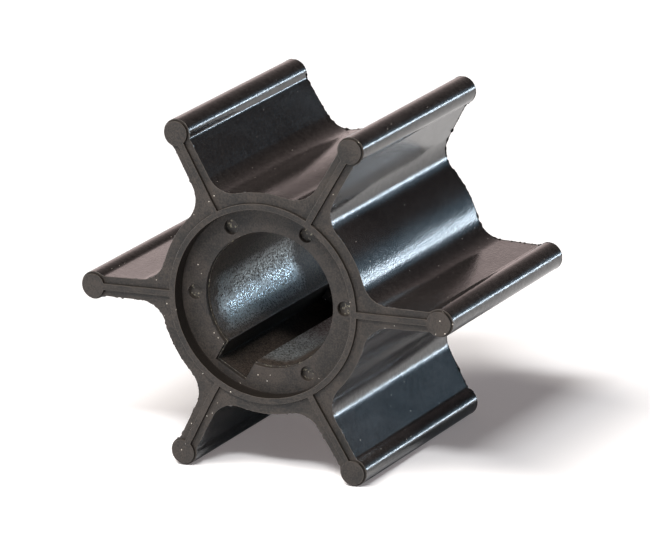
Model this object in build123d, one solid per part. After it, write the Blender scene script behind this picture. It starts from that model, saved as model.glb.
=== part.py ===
from build123d import *
from math import hypot
import os

# Flexible-vane impeller for a raw-water pump, in millimetres.
# One rubber moulding is bonded round a keyed metal sleeve that takes the pump shaft.
# The bore axis lies along Y with the origin at its middle, and +Z is up.
# The impeller stands on its two lowest vane tips.

# Shaft and key
shaft_dia = 19.05
shaft_clearance = 0.10
key_width = 4.76
key_clearance = 0.04
keyway_depth = 2.625  # past the bore's own radius
keyway_angle = 240  # in line with one vane

# Vanes
tip_dia = 57.15
vane_count = 6
bead_dia = 4.0
vane_root_thick = 3.2
vane_tip_thick = 2.8
root_fillet = 4.0
neck_fillet = 1.0

# Hub and ends
overall_width = 40.0  # over the two sealing rings
hub_land = 1.55  # from the sealing ring out to the hub's side
ring_wall = 0.85
rib_width = 0.9
rib_height = 0.45  # ring, ribs and tip discs above the end faces
end_relief = 0.5  # the ends lie this much lower at the tips than at the hub
disc_shoulder = 0.25  # bead radius less tip disc radius
recess_depth = 2.3
recess_margin = 0.3  # the recess is wider than the insert by this much all round

# Insert and the rubber over its ends
keyway_wall = 1.0  # metal left behind the keyway
skin_thick = 0.8
skin_setback = 0.2  # the rubber stays clear of the shaft by this much
pin_mark_dia = 2.1
pin_mark_inset = 1.7  # from the insert's outside to the middle of a mark

# Worked out from the sizes above
bore_r = (shaft_dia + shaft_clearance) / 2
keyway_width = key_width + key_clearance
keyway_reach = bore_r + keyway_depth
insert_r = keyway_reach + keyway_wall
recess_r = insert_r + recess_margin
ring_r = recess_r + ring_wall
hub_r = ring_r + hub_land
tip_circle_r = (tip_dia - bead_dia) / 2
vane_angle = 360 / vane_count
half_width = overall_width / 2
face_y = half_width - rib_height
floor_y = half_width - recess_depth
insert_half = floor_y - skin_thick
both_ends = (Plane.XZ, -Plane.XZ)  # outward normals -Y and +Y


def end_envelope(hub_half):
    """Disc whose two ends are flat over the hub and fall evenly towards the vane tips."""
    slope = end_relief / (tip_circle_r - hub_r)
    outer_r = tip_dia / 2 + 1
    outer_half = hub_half - slope * (outer_r - hub_r)
    outline = [
        (0, -hub_half), (hub_r, -hub_half), (outer_r, -outer_half),
        (outer_r, outer_half), (hub_r, hub_half), (0, hub_half),
    ]
    with BuildPart() as envelope:
        with BuildSketch(Plane.XY):
            Polygon(*outline, align=None)
        revolve(axis=Axis.Y)
    return envelope.part


def star_section():
    """Hub, tapered vanes and beads, blended at the roots and necks."""
    root_x = hub_r - vane_root_thick
    vane = [
        (root_x, -vane_root_thick / 2), (tip_circle_r, -vane_tip_thick / 2),
        (tip_circle_r, vane_tip_thick / 2), (root_x, vane_root_thick / 2),
    ]
    with BuildSketch() as section:
        Circle(hub_r)
        with PolarLocations(0, vane_count):
            Polygon(*vane, align=None)
        with PolarLocations(tip_circle_r, vane_count):
            Circle(bead_dia / 2)
        corners = section.vertices()
        roots = corners.filter_by(lambda v: hypot(v.X, v.Y) < (hub_r + tip_circle_r) / 2)
        fillet(roots, root_fillet)
        corners = section.vertices()
        necks = corners.filter_by(
            lambda v: tip_circle_r - bead_dia / 2 < hypot(v.X, v.Y) < tip_circle_r
        )
        fillet(necks, neck_fillet)
    return section.sketch


def rib_section():
    """Raised sealing lines of one end: a ring, a rib along each vane, a disc on each bead."""
    rib_start = recess_r + ring_wall / 2
    with BuildSketch() as section:
        Circle(ring_r)
        with PolarLocations(0, vane_count):
            with Locations((rib_start, 0)):
                Rectangle(tip_circle_r - rib_start, rib_width, align=(Align.MIN, Align.CENTER))
        with PolarLocations(tip_circle_r, vane_count):
            Circle(bead_dia / 2 - disc_shoulder)
    return section.sketch


def keyed_hole(bore_radius, slot_width, slot_reach):
    """Round hole with one square-cornered slot beside it."""
    with BuildSketch() as section:
        Circle(bore_radius)
        with Locations(Rotation(0, 0, keyway_angle)):
            Rectangle(slot_reach, slot_width, align=(Align.MIN, Align.CENTER))
    return section.sketch


def along_bore(section, half_length):
    """Prism of a section drawn as seen from the -Y end, centred on the origin."""
    return extrude(Plane.XZ * section, half_length, both=True)


def make_hub_insert():
    sleeve = along_bore(Circle(insert_r), insert_half)
    return sleeve - along_bore(keyed_hole(bore_r, keyway_width, keyway_reach), half_width)


def pin_marks():
    """Holes left in the end skins by the pins that hold the insert in the mould."""
    marks = Sketch()
    for turn in range(vane_count):
        angle = turn * vane_angle
        if angle != keyway_angle:
            marks += Rot(0, 0, angle) * Pos(insert_r - pin_mark_inset, 0) * Circle(pin_mark_dia / 2)
    return marks


def make_rubber_body():
    vanes = along_bore(star_section(), half_width) & end_envelope(face_y)
    ribs = along_bore(rib_section(), half_width) & end_envelope(half_width)
    body = vanes + ribs
    for end in both_ends:
        recess = end.offset(floor_y) * Circle(recess_r)
        body -= extrude(recess, recess_depth + 1)
    body -= along_bore(Circle(insert_r), insert_half)
    # The shaft passes both end skins; the key enters from -Y and stops at the far skin
    skin_bore_r = bore_r + skin_setback
    key_slot = keyed_hole(
        skin_bore_r, keyway_width + 2 * skin_setback, keyway_reach + skin_setback
    )
    body -= along_bore(Circle(skin_bore_r), half_width)
    body -= extrude(Plane.XZ * key_slot, half_width)
    return body - along_bore(pin_marks(), half_width)


os.makedirs("parts", exist_ok=True)
for name, part in {"rubber_body": make_rubber_body(), "hub_insert": make_hub_insert()}.items():
    part.label = name
    export_step(part, f"parts/{name}.step")
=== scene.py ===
import math

import bpy
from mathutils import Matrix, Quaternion, Vector, noise


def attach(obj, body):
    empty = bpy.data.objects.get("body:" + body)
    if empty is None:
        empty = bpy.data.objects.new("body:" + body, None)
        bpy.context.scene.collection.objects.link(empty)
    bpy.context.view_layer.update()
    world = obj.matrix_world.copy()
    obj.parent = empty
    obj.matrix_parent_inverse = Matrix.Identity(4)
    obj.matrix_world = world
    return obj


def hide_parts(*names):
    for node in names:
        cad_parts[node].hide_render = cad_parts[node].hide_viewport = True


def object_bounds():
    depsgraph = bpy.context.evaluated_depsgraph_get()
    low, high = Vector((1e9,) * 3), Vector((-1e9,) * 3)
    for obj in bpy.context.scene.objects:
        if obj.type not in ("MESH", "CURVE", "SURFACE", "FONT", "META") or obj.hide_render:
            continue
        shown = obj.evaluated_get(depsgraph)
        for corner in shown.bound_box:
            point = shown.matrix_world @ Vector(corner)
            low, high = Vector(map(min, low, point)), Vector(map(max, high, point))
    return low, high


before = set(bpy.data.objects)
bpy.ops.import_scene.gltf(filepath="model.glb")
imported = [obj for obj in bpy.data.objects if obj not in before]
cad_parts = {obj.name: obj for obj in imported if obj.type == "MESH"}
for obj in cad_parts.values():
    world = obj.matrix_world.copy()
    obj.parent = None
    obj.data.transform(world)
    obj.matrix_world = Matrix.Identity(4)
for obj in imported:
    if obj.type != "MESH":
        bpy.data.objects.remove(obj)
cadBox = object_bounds()
mm = 0.001  # the scene is in metres

cadMesh = {  # how the loose triangles of a CAD mesh are made whole
    "merge": 0.001,  # mm, corners nearer than this become one
    "flat": 1,  # degrees, faces that meet flatter than this become one
}


def linearColour(hexText):
    # an sRGB hex such as "4a4640" as the linear colour that a socket takes
    channels = [int(hexText[i:i + 2], 16) / 255 for i in (0, 2, 4)]
    linear = [c / 12.92 if c <= 0.04045 else ((c + 0.055) / 1.055) ** 2.4 for c in channels]
    return (*linear, 1.0)


def addNode(tree, kind, inputs, **settings):
    # one node with its settings; an input given as a socket is linked, any other is a value
    node = tree.nodes.new(kind)
    for name, value in settings.items():
        setattr(node, name, value)
    for name, value in inputs.items():
        if isinstance(value, bpy.types.NodeSocket):
            tree.links.new(value, node.inputs[name])
        else:
            node.inputs[name].default_value = value
    return node


def newMaterial(name):
    material = bpy.data.materials.new(name)
    material.use_nodes = True
    material.node_tree.nodes.clear()
    return material, material.node_tree


def selectOnly(piece):
    if bpy.context.object and bpy.context.object.mode != "OBJECT":
        bpy.ops.object.mode_set(mode="OBJECT")
    bpy.ops.object.select_all(action="DESELECT")
    piece.select_set(True)
    bpy.context.view_layer.objects.active = piece


def applyModifier(piece, kind, **settings):
    selectOnly(piece)
    modifier = piece.modifiers.new(kind.title(), kind)
    for name, value in settings.items():
        setattr(modifier, name, value)
    bpy.ops.object.modifier_apply(modifier=modifier.name)


def copyNode(node, name):
    # a merged copy of a CAD node's mesh, with its flat faces made whole again
    piece = bpy.data.objects.new(name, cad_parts[node].data.copy())
    bpy.context.scene.collection.objects.link(piece)
    piece.data.materials.clear()
    selectOnly(piece)
    bpy.ops.object.mode_set(mode="EDIT")
    bpy.ops.mesh.select_all(action="SELECT")
    bpy.ops.mesh.remove_doubles(threshold=cadMesh["merge"] * mm)
    bpy.ops.mesh.select_all(action="SELECT")
    bpy.ops.mesh.dissolve_limited(angle_limit=math.radians(cadMesh["flat"]))
    bpy.ops.object.mode_set(mode="OBJECT")
    return piece


def roundEdges(piece, shape):
    # a small round on every sharp edge, and smooth shading between them
    sharp = math.radians(shape["sharpAngle"])
    applyModifier(
        piece, "BEVEL", width=shape["edge"] * mm, segments=shape["edgeSteps"],
        limit_method="ANGLE", angle_limit=sharp, use_clamp_overlap=True,
    )
    selectOnly(piece)
    bpy.ops.object.shade_smooth_by_angle(angle=sharp)


def radiusOf(point):
    # how far a point is from the bore's axis, in mm
    return math.hypot(point.x, point.z) / mm


def insideCad(point):
    # the nearest place inside the CAD box, for bits that would stand out of it
    return Vector([min(max(point[i], cadBox[0][i]), cadBox[1][i]) for i in range(3)])


def finishPiece(piece, node):
    if node:
        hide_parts(node)
    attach(piece, "root")


def dustSpecks(tree, place, finish):
    # 1 on single round specks of dust, 0 between them
    cells = addNode(
        tree, "ShaderNodeTexVoronoi",
        {"Vector": place, "Scale": 1 / (finish["dustSpacing"] * mm), "Randomness": 1.0},
    )
    size = finish["dustSize"] / finish["dustSpacing"]
    speck = addNode(
        tree, "ShaderNodeMath", {0: cells.outputs["Distance"], 1: size}, operation="LESS_THAN"
    )
    return speck.outputs[0]


mouldedFinish = {  # black nitrile off a polished steel mould: satin, faint marks along the bore
    "colour": "211d1c",
    "polished": 0.13,  # roughness where the mould was clean
    "dull": 0.2,  # and where it was worn
    "ior": 1.68,  # above rubber's 1.52, for the wet look of its highlights
    "markWidth": 0.35,  # mm, coarser than real tool marks so that they show
    "markLength": 5.0,  # mm
    "markDepth": 0.004,  # mm
    "patchLength": 11.0,  # mm, how far along the bore the polish stays the same
    "patchStretch": 2.5,  # a patch is this many times longer than wide
    "patchRange": (0.35, 0.7),  # pattern values from polished to dull
    "swell": 5.0,  # mm, slow waves where the rubber shrank
    "swellDepth": 0.018,  # mm
    "grain": 0.36,  # mm
    "grainDepth": 0.02,  # mm
    "bloom": "312d2b",  # a faint haze of wax that rubber sweats out
    "mottle": 0.8,  # mm, size of the blots of wax
    "mottleRange": (0.4, 0.62),  # pattern values from bare rubber to wax
    "gloss": (0.36, 0.66),  # specular level of bare rubber and of wax
    "dust": "a39a92",
    "dustSpacing": 1.6,  # mm
    "dustSize": 0.075,  # mm
}


def makeMoulded():
    finish = mouldedFinish
    material, tree = newMaterial("mouldedNitrile")
    place = addNode(tree, "ShaderNodeTexCoord", {}).outputs["Object"]
    across, along = 1 / (finish["markWidth"] * mm), 1 / (finish["markLength"] * mm)
    markSpace = addNode(
        tree, "ShaderNodeMapping", {"Vector": place, "Scale": (across, along, across)}
    )
    marks = addNode(
        tree, "ShaderNodeTexNoise",
        {"Vector": markSpace.outputs["Vector"], "Scale": 1.0, "Detail": 2.0, "Roughness": 0.6},
    )
    swell = addNode(
        tree, "ShaderNodeTexNoise",
        {
            "Vector": place, "Scale": 1 / (finish["swell"] * mm), "Detail": 1.0,
            "Roughness": 0.5,
        },
    )
    grain = addNode(
        tree, "ShaderNodeTexNoise",
        {
            "Vector": place, "Scale": 1 / (finish["grain"] * mm), "Detail": 2.0,
            "Roughness": 0.7,
        },
    )
    normal = None
    for pattern, depth in ((swell, "swellDepth"), (marks, "markDepth"), (grain, "grainDepth")):
        inputs = {
            "Height": pattern.outputs["Fac"], "Strength": 1.0, "Distance": finish[depth] * mm,
        }
        if normal:
            inputs["Normal"] = normal
        normal = addNode(tree, "ShaderNodeBump", inputs).outputs["Normal"]
    patchAlong = 1 / (finish["patchLength"] * mm)
    patchAcross = finish["patchStretch"] / (finish["patchLength"] * mm)
    patchSpace = addNode(
        tree, "ShaderNodeMapping",
        {"Vector": place, "Scale": (patchAcross, patchAlong, patchAcross)},
    )
    patches = addNode(
        tree, "ShaderNodeTexNoise",
        {"Vector": patchSpace.outputs["Vector"], "Scale": 1.0, "Detail": 2.0, "Roughness": 0.5},
    )
    roughness = addNode(
        tree, "ShaderNodeMapRange",
        {
            "Value": patches.outputs["Fac"], "From Min": finish["patchRange"][0],
            "From Max": finish["patchRange"][1], "To Min": finish["polished"],
            "To Max": finish["dull"],
        },
    )
    mottle = addNode(
        tree, "ShaderNodeTexNoise",
        {
            "Vector": place, "Scale": 1 / (finish["mottle"] * mm), "Detail": 4.0,
            "Roughness": 0.9,
        },
    )
    haze, gloss = [
        addNode(
            tree, "ShaderNodeMapRange",
            {
                "Value": mottle.outputs["Fac"], "From Min": finish["mottleRange"][0],
                "From Max": finish["mottleRange"][1], "To Min": bare, "To Max": waxed,
            },
        ).outputs["Result"]
        for bare, waxed in ((0.0, 1.0), finish["gloss"])
    ]
    hazed = addNode(
        tree, "ShaderNodeMixRGB",
        {
            "Fac": haze, "Color1": linearColour(finish["colour"]),
            "Color2": linearColour(finish["bloom"]),
        },
    )
    dusted = addNode(
        tree, "ShaderNodeMixRGB",
        {
            "Fac": dustSpecks(tree, place, finish), "Color1": hazed.outputs["Color"],
            "Color2": linearColour(finish["dust"]),
        },
    )
    shader = addNode(
        tree, "ShaderNodeBsdfPrincipled",
        {
            "Base Color": dusted.outputs["Color"], "Roughness": roughness.outputs["Result"],
            "IOR": finish["ior"], "Specular IOR Level": gloss, "Normal": normal,
        },
    )
    addNode(tree, "ShaderNodeOutputMaterial", {"Surface": shader.outputs["BSDF"]})
    return material


buffedFinish = {  # the same rubber on the ends, trimmed and handled: matte, browner, finely grained
    "colour": "15110e",
    "worn": "362e28",
    "toneRange": (0.84, 1.18),  # patches and grain together, from the dark tone to the worn one
    "edgeColour": "49423b",  # edges are rubbed paler
    "roughness": 0.62,
    "edgeRoughness": 0.42,
    "patch": 5.0,  # mm
    "grain": 0.24,  # mm
    "grainDepth": 0.05,  # mm
    "dust": "cfc5b8",
    "dustSpacing": 0.85,  # mm
    "dustSize": 0.08,  # mm
    "dustCover": 0.55,  # dust lies in clusters, where the patches' pattern is above this
}


def makeBuffed(name, colour, roughness):
    finish = buffedFinish
    material, tree = newMaterial(name)
    place = addNode(tree, "ShaderNodeTexCoord", {}).outputs["Object"]
    grain = addNode(
        tree, "ShaderNodeTexNoise",
        {
            "Vector": place, "Scale": 1 / (finish["grain"] * mm), "Detail": 3.0,
            "Roughness": 0.65,
        },
    )
    patches = addNode(
        tree, "ShaderNodeTexNoise",
        {
            "Vector": place, "Scale": 1 / (finish["patch"] * mm), "Detail": 4.0,
            "Roughness": 0.6,
        },
    )
    mottle = addNode(
        tree, "ShaderNodeMath", {0: patches.outputs["Fac"], 1: grain.outputs["Fac"]},
        operation="ADD",
    )
    spread = addNode(
        tree, "ShaderNodeMapRange",
        {
            "Value": mottle.outputs[0], "From Min": finish["toneRange"][0],
            "From Max": finish["toneRange"][1], "To Min": 0.0, "To Max": 1.0,
        },
    )
    tone = addNode(
        tree, "ShaderNodeMixRGB",
        {
            "Fac": spread.outputs["Result"], "Color1": linearColour(colour),
            "Color2": linearColour(finish["worn"]),
        },
    )
    settled = addNode(
        tree, "ShaderNodeMath", {0: patches.outputs["Fac"], 1: finish["dustCover"]},
        operation="GREATER_THAN",
    )
    clusters = addNode(
        tree, "ShaderNodeMath",
        {0: dustSpecks(tree, place, finish), 1: settled.outputs[0]}, operation="MULTIPLY",
    )
    dusted = addNode(
        tree, "ShaderNodeMixRGB",
        {
            "Fac": clusters.outputs[0], "Color1": tone.outputs["Color"],
            "Color2": linearColour(finish["dust"]),
        },
    )
    bump = addNode(
        tree, "ShaderNodeBump",
        {
            "Height": grain.outputs["Fac"], "Strength": 1.0,
            "Distance": finish["grainDepth"] * mm,
        },
    )
    shader = addNode(
        tree, "ShaderNodeBsdfPrincipled",
        {
            "Base Color": dusted.outputs["Color"], "Roughness": roughness,
            "Normal": bump.outputs["Normal"],
        },
    )
    addNode(tree, "ShaderNodeOutputMaterial", {"Surface": shader.outputs["BSDF"]})
    return material


coatedFinish = {  # bonding coat left on the brass: near black and dull, worn bright by the shaft
    "colour": "1c1815",
    "streak": "504740",  # the coat where it is thin
    "bare": "b9c9cf",
    "dull": 0.5,  # roughness of the coat
    "rubbed": 0.24,  # and of the bare metal
    "rubbedFrom": 0.3,  # share of bare metal from which it is that smooth
    "specular": 0.12,  # the coat hardly shines
    "grit": 0.26,  # mm
    "gritDepth": 0.03,  # mm
    "thinRange": (0.42, 0.6),  # grit pattern from a full coat to its thinnest
    "thinnest": 0.8,  # how thin it gets on the insert
    "thinnestForShade": 0.06,  # and in its darker copy, which paints shade on the moulding and darkens the keyway's sides as shade
    "blot": 2.2,  # mm, thick runs of the coat
    "blotRange": (0.34, 0.5),  # blot pattern from a run to none
    "underRun": 0.6,  # share of the wear that shows through a run
    "wornSides": [  # degrees round the bore from +X towards +Z, degrees to either side
        {"side": 194, "spread": 28, "wear": 1.0},
        {"side": 268, "spread": 19, "wear": 0.36},
    ],
    "boreRadius": 9.5,  # mm
    "wornMiddle": -2.0,  # mm along the bore
    "wornLength": 27.0,  # mm, rubber crept over the rest
    "ragged": 3.0,  # mm, how unevenly it did
}


def makeCoated(name, thinnest, wornSides):
    finish = coatedFinish
    material, tree = newMaterial(name)
    place = addNode(tree, "ShaderNodeTexCoord", {}).outputs["Object"]
    grit = addNode(
        tree, "ShaderNodeTexNoise",
        {
            "Vector": place, "Scale": 1 / (finish["grit"] * mm), "Detail": 3.0,
            "Roughness": 0.75,
        },
    )
    blots = addNode(
        tree, "ShaderNodeTexNoise",
        {
            "Vector": place, "Scale": 1 / (finish["blot"] * mm), "Detail": 3.0,
            "Roughness": 0.6,
        },
    )
    thin = addNode(
        tree, "ShaderNodeMapRange",
        {
            "Value": grit.outputs["Fac"], "From Min": finish["thinRange"][0],
            "From Max": finish["thinRange"][1], "To Min": 0.0, "To Max": thinnest,
        },
    )
    thick = addNode(
        tree, "ShaderNodeMapRange",
        {
            "Value": blots.outputs["Fac"], "From Min": finish["blotRange"][0],
            "From Max": finish["blotRange"][1], "To Min": finish["underRun"], "To Max": 1.0,
        },
    )
    reach = 1 / (finish["boreRadius"] * mm)
    worn = 0.0  # stays 0 where no side is worn, so that no metal shows
    for patch in wornSides:
        turn = math.radians(patch["side"])
        sideways = addNode(
            tree, "ShaderNodeVectorMath",
            {0: place, 1: (math.cos(turn) * reach, 0, math.sin(turn) * reach)},
            operation="DOT_PRODUCT",
        )
        side = addNode(
            tree, "ShaderNodeMapRange",
            {
                "Value": sideways.outputs["Value"],
                "From Min": math.cos(math.radians(patch["spread"])), "From Max": 1.0,
                "To Min": 0.0, "To Max": patch["wear"],
            },
            interpolation_type="SMOOTHSTEP",
        )
        worn = addNode(
            tree, "ShaderNodeMath", {0: worn, 1: side.outputs["Result"]}, operation="MAXIMUM"
        ).outputs[0]
    length = addNode(tree, "ShaderNodeSeparateXYZ", {"Vector": place}).outputs["Y"]
    offset = addNode(
        tree, "ShaderNodeMath", {0: length, 1: finish["wornMiddle"] * mm}, operation="SUBTRACT"
    )
    away = addNode(tree, "ShaderNodeMath", {0: offset.outputs[0]}, operation="ABSOLUTE")
    shore = addNode(
        tree, "ShaderNodeMath",
        {0: blots.outputs["Fac"], 1: 2 * finish["ragged"] * mm, 2: away.outputs[0]},
        operation="MULTIPLY_ADD",
    )
    clear = addNode(
        tree, "ShaderNodeMapRange",
        {
            "Value": shore.outputs[0], "From Min": finish["wornLength"] / 2 * mm,
            "From Max": (finish["wornLength"] / 2 + finish["ragged"]) * mm,
            "To Min": 1.0, "To Max": 0.0,
        },
    )
    bare = thin.outputs["Result"]
    for cover in (thick.outputs["Result"], worn, clear.outputs["Result"]):
        bare = addNode(
            tree, "ShaderNodeMath", {0: bare, 1: cover}, operation="MULTIPLY"
        ).outputs[0]
    streaked = addNode(
        tree, "ShaderNodeMixRGB",
        {
            "Fac": thin.outputs["Result"], "Color1": linearColour(finish["colour"]),
            "Color2": linearColour(finish["streak"]),
        },
    )
    tone = addNode(
        tree, "ShaderNodeMixRGB",
        {
            "Fac": bare, "Color1": streaked.outputs["Color"],
            "Color2": linearColour(finish["bare"]),
        },
    )
    roughness = addNode(
        tree, "ShaderNodeMapRange",
        {
            "Value": bare, "From Min": 0.0, "From Max": finish["rubbedFrom"],
            "To Min": finish["dull"], "To Max": finish["rubbed"],
        },
    )
    bump = addNode(
        tree, "ShaderNodeBump",
        {
            "Height": grit.outputs["Fac"], "Strength": 1.0,
            "Distance": finish["gritDepth"] * mm,
        },
    )
    shader = addNode(
        tree, "ShaderNodeBsdfPrincipled",
        {
            "Base Color": tone.outputs["Color"], "Roughness": roughness.outputs["Result"],
            "Metallic": bare, "Specular IOR Level": finish["specular"],
            "Normal": bump.outputs["Normal"],
        },
    )
    addNode(tree, "ShaderNodeOutputMaterial", {"Surface": shader.outputs["BSDF"]})
    return material


moulding = {
    "edge": 0.12,  # mm, the small round that the mould leaves on every edge
    "edgeSteps": 2,
    "sharpAngle": 25,  # degrees
    "faceWeight": 50,  # how strongly large faces lead the shading of the rounds beside them
    "hubRadius": 15.9,  # mm
    "tipRadius": 26.575,  # mm
    "faceAtHub": 19.55,  # mm from the middle to the end face, at the hub
    "faceAtTip": 19.05,  # and at the vane tips
    "recessRadius": 13.5,  # mm
    "lean": {180: (0.0, -0.33), 240: (0.4, 0.0)},  # mm, how far two vane tips sit off true
    "vaneReach": 30,  # degrees to either side of a vane that lean with it
    "finish": {  # where one finish gives way to the next
        "raised": 0.02,  # mm above the end face, from where a face stands out of it
        "foot": 0.2,  # mm, height of the painted shade line at the foot of what stands out
        "recessSlack": 0.05,  # mm inside the recess's wall
        "wallBand": 0.2,  # mm to either side of the recess's wall
        "wallTop": 19.7,  # mm from the middle, up to where that wall is painted dark as shade
        "roundsFrom": 18.9,  # mm from the middle, where the ends' rounded edges begin
        "flat": 0.97,  # a face looks squarely along the bore from here up
        "sloping": 0.6,  # mostly along it
        "upright": 0.25,  # and hardly along it below this
        "lit": 0.8,  # a raised wall that looks up by more than this keeps the ends' finish; the others get painted shade
    },
}


def tipShare(radius):
    # 0 at the hub and 1 at the vane tips, for a radius in mm
    return (radius - moulding["hubRadius"]) / (moulding["tipRadius"] - moulding["hubRadius"])


def leanVanes(piece):
    # moulded vanes never stand quite true: the tip moves by the whole amount, the root not at all
    for vertex in piece.data.vertices:
        radius = radiusOf(vertex.co)
        angle = math.degrees(math.atan2(vertex.co.z, vertex.co.x)) % 360
        for vane, (sideways, upwards) in moulding["lean"].items():
            if abs(angle - vane) < moulding["vaneReach"] and radius > moulding["hubRadius"]:
                share = min(tipShare(radius), 1)
                vertex.co.x += share * sideways * mm
                vertex.co.z += share * upwards * mm


def endFaceAt(radius):
    # height of the end face above the middle, in mm: it falls towards the vane tips
    drop = moulding["faceAtHub"] - moulding["faceAtTip"]
    return moulding["faceAtHub"] - max(tipShare(radius), 0) * drop


def paintMoulding(piece):
    # slot 0 moulded sides, slot 1 buffed ends, slot 2 their rubbed edges,
    # slot 3 painted shade, dark on the recess wall, the feet and the side walls of what stands out
    # of the ends
    for material in (
        makeMoulded(),
        makeBuffed("buffedNitrile", buffedFinish["colour"], buffedFinish["roughness"]),
        makeBuffed("rubbedEdgeNitrile", buffedFinish["edgeColour"], buffedFinish["edgeRoughness"]),
        makeCoated("bondingCoatAndPaintedShade", coatedFinish["thinnestForShade"], []),
    ):
        piece.data.materials.append(material)
    finish = moulding["finish"]
    for face in piece.data.polygons:
        radius = radiusOf(face.center)
        height = abs(face.center.y) / mm
        facing = abs(face.normal.y)
        above = height - endFaceAt(radius)
        raised = above > finish["raised"]
        inRecess = radius < moulding["recessRadius"] - finish["recessSlack"]
        nearWall = abs(radius - moulding["recessRadius"]) < finish["wallBand"]
        recessWall = nearWall and height < finish["wallTop"]
        foot = facing < finish["flat"] and 0 < above < finish["foot"]
        sideWall = raised and facing < finish["upright"] and face.normal.z < finish["lit"]
        # painted shade: the dark copy of the coat stands for the shade in the recess, at the feet
        # and on walls turned from the top light
        if recessWall or foot or sideWall:
            face.material_index = 3
        elif finish["upright"] < facing < finish["flat"] and height > finish["roundsFrom"]:
            face.material_index = 2
        elif facing > finish["sloping"] or inRecess or raised:
            face.material_index = 1
        else:
            face.material_index = 0


def makeMoulding():
    piece = copyNode("rubber_body", "rubberMoulding")
    leanVanes(piece)
    roundEdges(piece, moulding)
    applyModifier(
        piece, "WEIGHTED_NORMAL", mode="FACE_AREA", weight=moulding["faceWeight"],
        keep_sharp=True,
    )
    paintMoulding(piece)
    finishPiece(piece, "rubber_body")


print("rubber moulding")
makeMoulding()


flash = {  # the ragged fin that rubber leaves where the mould halves meet, round each end's outline
    "thick": 0.09,  # mm
    "cut": 18.5,  # mm from the middle, where the outline is taken
    "clearance": 0.8,  # mm outside the recess, so that the recess has no fin
    "below": 0.09,  # mm under the end face
    "root": 0.1,  # mm inside the moulding
    "step": 0.16,  # mm, the longest edge that is left along the outline
    "splits": 7,  # times that a longer edge is halved
    "tag": 0.7,  # mm along the edge, one ragged tag
    "tagShare": 1.6,  # how strongly the tags show
    "fray": 0.3,  # mm along the edge, one of its finer teeth
    "frayShare": 0.9,
    "fade": 1.0,  # mm, over which the tags die out towards the vane tips
    "digits": 7,  # decimals of a metre by which a copied point is found again
    "ends": {  # mm that the fin always stands out (below 0 only thins the tags), mm that tags add
        "frontFlash": {"side": -1, "always": -0.25, "tags": 0.16},
        "backFlash": {"side": 1, "always": 0.03, "tags": 0.15},
    },
}


def cutOutline(piece, side):
    # leaves the outer outline of one end of the moulding, as a closed loop of edges
    selectOnly(piece)
    bpy.ops.object.mode_set(mode="EDIT")
    bpy.ops.mesh.select_all(action="SELECT")
    bpy.ops.mesh.bisect(
        plane_co=(0, side * flash["cut"] * mm, 0), plane_no=(0, 1, 0), clear_inner=True,
        clear_outer=True, threshold=cadMesh["merge"] * mm,
    )
    bpy.ops.mesh.select_mode(type="VERT")
    bpy.ops.mesh.select_all(action="DESELECT")
    bpy.ops.object.mode_set(mode="OBJECT")
    inner = (moulding["recessRadius"] + flash["clearance"]) * mm
    for vertex in piece.data.vertices:
        vertex.select = math.hypot(vertex.co.x, vertex.co.z) < inner
    bpy.ops.object.mode_set(mode="EDIT")
    bpy.ops.mesh.delete(type="VERT")  # the recess's own outline
    bpy.ops.object.mode_set(mode="OBJECT")


def divideOutline(piece):
    # halves every edge that is longer than the step, so that the fin can fray
    for _ in range(flash["splits"]):
        bpy.ops.object.mode_set(mode="EDIT")
        bpy.ops.mesh.select_mode(type="EDGE")
        bpy.ops.mesh.select_all(action="DESELECT")
        bpy.ops.object.mode_set(mode="OBJECT")
        points = piece.data.vertices
        for edge in piece.data.edges:
            length = (points[edge.vertices[0]].co - points[edge.vertices[1]].co).length
            edge.select = length > flash["step"] * mm
        bpy.ops.object.mode_set(mode="EDIT")
        bpy.ops.mesh.subdivide(number_cuts=1)
        bpy.ops.object.mode_set(mode="OBJECT")


def walkLoop(mesh):
    # the points of one closed outline, in order, anticlockwise seen from the -Y end
    neighbours = {v.index: [] for v in mesh.vertices}
    for edge in mesh.edges:
        neighbours[edge.vertices[0]].append(edge.vertices[1])
        neighbours[edge.vertices[1]].append(edge.vertices[0])
    order = [0]
    while True:
        onward = [n for n in neighbours[order[-1]] if n not in order[-2:]]
        if not onward or onward[0] == order[0]:
            break
        order.append(onward[0])
    points = [mesh.vertices[i].co.copy() for i in order]
    area = sum(a.x * b.z - b.x * a.z for a, b in zip(points, points[1:] + points[:1]))
    return order if area > 0 else order[::-1]


def outwardAlong(mesh):
    # for each point of the outline, the direction straight out of the moulding
    order = walkLoop(mesh)
    outward = {}
    for before, here, after in zip(order[-1:] + order[:-1], order, order[1:] + order[:1]):
        along = mesh.vertices[after].co - mesh.vertices[before].co
        outward[here] = Vector((along.z, 0, -along.x)).normalized()
    return outward


def placeKey(point):
    return tuple(round(c, flash["digits"]) for c in point)


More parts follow.
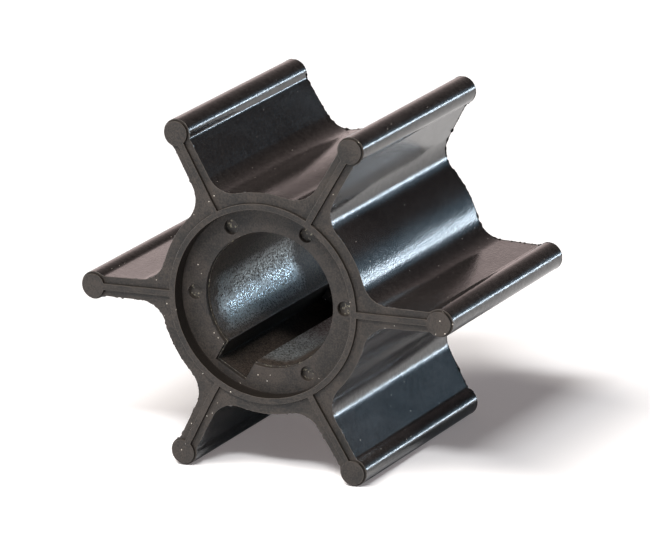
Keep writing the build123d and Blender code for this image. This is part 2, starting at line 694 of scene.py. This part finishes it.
def makeFlash(name, side, always, tags):
    piece = copyNode("rubber_body", name)
    leanVanes(piece)
    cutOutline(piece, side)
    divideOutline(piece)
    outward = outwardAlong(piece.data)
    for vertex in piece.data.vertices:
        vertex.co.y = side * (endFaceAt(radiusOf(vertex.co)) - flash["below"]) * mm
    starts = {placeKey(v.co): outward[v.index] for v in piece.data.vertices}
    bpy.ops.object.mode_set(mode="EDIT")
    bpy.ops.mesh.select_mode(type="VERT")
    bpy.ops.mesh.select_all(action="SELECT")
    bpy.ops.mesh.extrude_edges_move(TRANSFORM_OT_translate={"value": (0, 0, 0)})
    bpy.ops.object.mode_set(mode="OBJECT")
    for vertex in piece.data.vertices:
        away = starts[placeKey(vertex.co)]
        if not vertex.select:  # the fin's root; what was extruded is still selected
            vertex.co -= away * flash["root"] * mm
            continue
        coarse = noise.noise(vertex.co / (flash["tag"] * mm))
        fine = noise.noise(vertex.co / (flash["fray"] * mm))
        ragged = coarse * flash["tagShare"] + fine * flash["frayShare"] + always
        toTip = moulding["tipRadius"] * mm - math.hypot(vertex.co.x, vertex.co.z)
        free = min(max(toTip / (flash["fade"] * mm), 0), 1)
        amount = max(always, 0) + max(0, min(1, ragged)) * tags * free
        vertex.co = insideCad(vertex.co + away * amount * mm)
    applyModifier(piece, "SOLIDIFY", thickness=flash["thick"] * mm, offset=0.0)
    selectOnly(piece)
    bpy.ops.object.mode_set(mode="EDIT")
    bpy.ops.mesh.select_all(action="SELECT")
    bpy.ops.mesh.normals_make_consistent(inside=False)
    bpy.ops.object.mode_set(mode="OBJECT")
    for vertex in piece.data.vertices:
        vertex.co = insideCad(vertex.co)
    piece.data.materials.append(bpy.data.materials["mouldedNitrile"])
    finishPiece(piece, None)


print("flash at both ends")
for name, end in flash["ends"].items():
    makeFlash(name, **end)


smearedFinish = {  # the insert's ends, seen in the pin marks: rubber smeared over brass
    "colour": "3a342f",
    "brass": "a8a08c",
    "roughness": 0.5,
    "blot": 0.5,  # mm
    "blotDepth": 0.08,  # mm
    "bareRange": (0.56, 0.66),  # blot pattern from rubber to brass
}


def makeSmeared():
    finish = smearedFinish
    material, tree = newMaterial("smearedBrass")
    place = addNode(tree, "ShaderNodeTexCoord", {}).outputs["Object"]
    blots = addNode(
        tree, "ShaderNodeTexNoise",
        {
            "Vector": place, "Scale": 1 / (finish["blot"] * mm), "Detail": 3.0,
            "Roughness": 0.6,
        },
    )
    bare = addNode(
        tree, "ShaderNodeMapRange",
        {
            "Value": blots.outputs["Fac"], "From Min": finish["bareRange"][0],
            "From Max": finish["bareRange"][1], "To Min": 0.0, "To Max": 1.0,
        },
    )
    tone = addNode(
        tree, "ShaderNodeMixRGB",
        {
            "Fac": bare.outputs["Result"], "Color1": linearColour(finish["colour"]),
            "Color2": linearColour(finish["brass"]),
        },
    )
    bump = addNode(
        tree, "ShaderNodeBump",
        {
            "Height": blots.outputs["Fac"], "Strength": 1.0,
            "Distance": finish["blotDepth"] * mm,
        },
    )
    shader = addNode(
        tree, "ShaderNodeBsdfPrincipled",
        {
            "Base Color": tone.outputs["Color"], "Roughness": finish["roughness"],
            "Metallic": bare.outputs["Result"], "Normal": bump.outputs["Normal"],
        },
    )
    addNode(tree, "ShaderNodeOutputMaterial", {"Surface": shader.outputs["BSDF"]})
    return material


insert = {
    "edge": 0.1,  # mm
    "edgeSteps": 2,
    "sharpAngle": 25,  # degrees
    "boreRadius": 9.6,  # mm, just outside the bore, to tell its faces from the others
    "keyway": 240,  # degrees round the bore
    "squarely": 0.98,  # how squarely a face must look along the bore, or out of the keyway
}


def makeInsert():
    # slot 0 the bore, slot 1 the insert's ends, slot 2 the keyway's sides and the hidden outside in
    # the darker coat,
    # slot 3 the keyway's floor, which no shaft rubs
    piece = copyNode("hub_insert", "hubInsert")
    roundEdges(piece, insert)
    for material in (
        makeCoated("rubbedCoat", coatedFinish["thinnest"], coatedFinish["wornSides"]),
        makeSmeared(),
        # the real coat, kept darker so that the keyway's sides also carry painted shade
        bpy.data.materials["bondingCoatAndPaintedShade"],
        makeCoated("streakedCoat", coatedFinish["thinnest"], []),
    ):
        piece.data.materials.append(material)
    turn = math.radians(insert["keyway"])
    inwards = Vector((-math.cos(turn), 0, -math.sin(turn)))  # from the keyway's floor to the axis
    for face in piece.data.polygons:
        if abs(face.normal.y) > insert["squarely"]:
            face.material_index = 1
        elif math.hypot(face.center.x, face.center.z) < insert["boreRadius"] * mm:
            face.material_index = 0
        elif face.normal.dot(inwards) > insert["squarely"]:
            face.material_index = 3
        else:
            face.material_index = 2
    finishPiece(piece, "hub_insert")


print("hub insert")
makeInsert()


camera = {
    "azimuth": 25.251,  # degrees from the -Y end towards +X
    "elevation": 15.443,
    "roll": -0.595,
    "distance": 984.8,  # mm
    "lens": 386.4,  # mm
    "aim": (0.27, 0.0, -0.45),  # mm
    "farthest": 20,  # m, past the floor's edge
}


def direction(azimuth, elevation):
    # azimuth 0 is the -Y end, 90 is +X and 180 is behind
    turn, rise = math.radians(azimuth), math.radians(elevation)
    level = math.cos(rise)
    return Vector((math.sin(turn) * level, -math.cos(turn) * level, math.sin(rise)))


def placeCamera():
    towards = direction(camera["azimuth"], camera["elevation"])
    spot = (Vector(camera["aim"]) + towards * camera["distance"]) * mm
    bpy.ops.object.camera_add(location=spot)
    eye = bpy.context.object
    eye.rotation_mode = "QUATERNION"
    roll = Quaternion((0, 0, 1), math.radians(camera["roll"]))
    eye.rotation_quaternion = (-towards).to_track_quat("-Z", "Y") @ roll
    eye.data.lens = camera["lens"]
    eye.data.clip_end = camera["farthest"]
    bpy.context.scene.camera = eye


print("camera")
placeCamera()


floor = {
    "width": 12.0,  # m
    "colour": "f4f4f5",
    "liftColour": "fff0ee",
    "lift": 0.15,  # light added for the camera alone, so that lit paper shows white
}


def makeFloor():
    bpy.ops.mesh.primitive_plane_add(size=floor["width"], location=(0, 0, cadBox[0][2]))
    sheet = bpy.context.object
    sheet.name = "floor"
    material, tree = newMaterial("paperFloor")  # matte backdrop paper: white, with soft shadows
    paper = addNode(tree, "ShaderNodeBsdfDiffuse", {"Color": linearColour(floor["colour"])})
    seen = addNode(tree, "ShaderNodeLightPath", {}).outputs["Is Camera Ray"]
    strength = addNode(
        tree, "ShaderNodeMath", {0: seen, 1: floor["lift"]}, operation="MULTIPLY"
    )
    glow = addNode(
        tree, "ShaderNodeEmission",
        {"Color": linearColour(floor["liftColour"]), "Strength": strength.outputs[0]},
    )
    both = addNode(tree, "ShaderNodeAddShader", {0: paper.outputs[0], 1: glow.outputs[0]})
    addNode(tree, "ShaderNodeOutputMaterial", {"Surface": both.outputs[0]})
    sheet.data.materials.append(material)


print("floor")
makeFloor()


lamps = {  # azimuth and elevation in degrees, distance, width and height in m, power in W
    "keyLamp": {
        "azimuth": 12, "elevation": 47, "distance": 2.6, "wide": 0.7, "tall": 0.3,
        "power": 44, "colour": "ffffff",
    },
    "fillLamp": {
        "azimuth": -25, "elevation": 55, "distance": 2.2, "wide": 1.2, "tall": 0.5,
        "power": 44, "colour": "fffaf4",
    },
}


def addLamp(name, azimuth, elevation, distance, wide, tall, power, colour):
    towards = direction(azimuth, elevation)
    bpy.ops.object.light_add(type="AREA", location=towards * distance)
    lamp = bpy.context.object
    lamp.name = name
    lamp.rotation_euler = (-towards).to_track_quat("-Z", "Y").to_euler()
    lamp.data.shape = "RECTANGLE"
    lamp.data.size = wide
    lamp.data.size_y = tall
    lamp.data.energy = power
    lamp.data.color = linearColour(colour)[:3]


print("lamps")
for name, lamp in lamps.items():
    addLamp(name, **lamp)


studio = {  # what the gloss reflects: a dim room, soft walls and bright strips low down
    "room": "2a2524",
    "fullShare": 0.4,  # share of a wall's spread over which it has its full strength
    "walls": [  # heading and spread in degrees, sines of the heights where each fades in and out
        {
            "heading": 152, "spread": 48, "foot": (-0.1, 0.0), "top": (0.13, 0.25),
            "colour": "4c6270", "strength": 3.2,
        },
        {
            "heading": 195, "spread": 36, "foot": (0.2, 0.4), "top": (0.6, 0.8),
            "colour": "8f8280", "strength": 1.4,
        },
        {
            "heading": 208, "spread": 38, "foot": (-0.1, 0.0), "top": (0.22, 0.4),
            "colour": "8f8280", "strength": 4.0,
        },
        {
            "heading": 75, "spread": 58, "foot": (-0.1, 0.0), "top": (0.2, 0.6),
            "colour": "6f7a80", "strength": 2.2,
        },
        {
            "heading": 285, "spread": 58, "foot": (-0.1, 0.0), "top": (0.2, 0.6),
            "colour": "807a78", "strength": 2.2,
        },
        {
            "heading": 0, "spread": 60, "foot": (-0.1, 0.0), "top": (0.15, 0.3),
            "colour": "5c6a72", "strength": 1.0,
        },
        {
            "heading": 152, "spread": 40, "foot": (-0.01, 0.0), "top": (0.012, 0.045),
            "colour": "dff0ff", "strength": 24.0,
        },
        {
            "heading": 75, "spread": 45, "foot": (0.01, 0.05), "top": (0.06, 0.16),
            "colour": "dff0ff", "strength": 9.0,
        },
        {
            "heading": 290, "spread": 50, "foot": (0.01, 0.05), "top": (0.06, 0.16),
            "colour": "dff0ff", "strength": 9.0,
        },
        {
            "heading": 0, "spread": 45, "foot": (0.01, 0.03), "top": (0.04, 0.08),
            "colour": "dff0ff", "strength": 7.0,
        },
    ],
}


def makeStudio():
    world = bpy.data.worlds.new("studio")
    bpy.context.scene.world = world
    world.use_nodes = True
    tree = world.node_tree
    tree.nodes.clear()
    heading = addNode(tree, "ShaderNodeTexCoord", {}).outputs["Generated"]
    height = addNode(tree, "ShaderNodeSeparateXYZ", {"Vector": heading}).outputs["Z"]
    mixed = linearColour(studio["room"])
    for wall in studio["walls"]:
        facing = addNode(
            tree, "ShaderNodeVectorMath", {0: heading, 1: direction(wall["heading"], 0)[:]},
            operation="DOT_PRODUCT",
        )
        full = math.radians(wall["spread"] * studio["fullShare"])
        wide = addNode(
            tree, "ShaderNodeMapRange",
            {
                "Value": facing.outputs["Value"],
                "From Min": math.cos(math.radians(wall["spread"])),
                "From Max": math.cos(full), "To Min": 0.0, "To Max": 1.0,
            },
            interpolation_type="SMOOTHSTEP",
        )
        cover = wide.outputs["Result"]
        for (low, high), far in ((wall["foot"], 1.0), (wall["top"], 0.0)):
            band = addNode(
                tree, "ShaderNodeMapRange",
                {
                    "Value": height, "From Min": low, "From Max": high, "To Min": 1 - far,
                    "To Max": far,
                },
                interpolation_type="SMOOTHSTEP",
            )
            cover = addNode(
                tree, "ShaderNodeMath", {0: cover, 1: band.outputs["Result"]},
                operation="MULTIPLY",
            ).outputs[0]
        bright = (*[c * wall["strength"] for c in linearColour(wall["colour"])[:3]], 1.0)
        mixed = addNode(
            tree, "ShaderNodeMixRGB", {"Fac": cover, "Color1": mixed, "Color2": bright}
        ).outputs["Color"]
    seen = addNode(tree, "ShaderNodeLightPath", {}).outputs["Is Camera Ray"]
    shown = addNode(  # the camera itself sees plain white behind the floor
        tree, "ShaderNodeMixRGB", {"Fac": seen, "Color1": mixed, "Color2": (1, 1, 1, 1)}
    )
    background = addNode(
        tree, "ShaderNodeBackground", {"Color": shown.outputs["Color"], "Strength": 1.0}
    )
    addNode(tree, "ShaderNodeOutputWorld", {"Surface": background.outputs[0]})


print("studio")
makeStudio()
bpy.context.scene.view_settings.view_transform = "Standard"
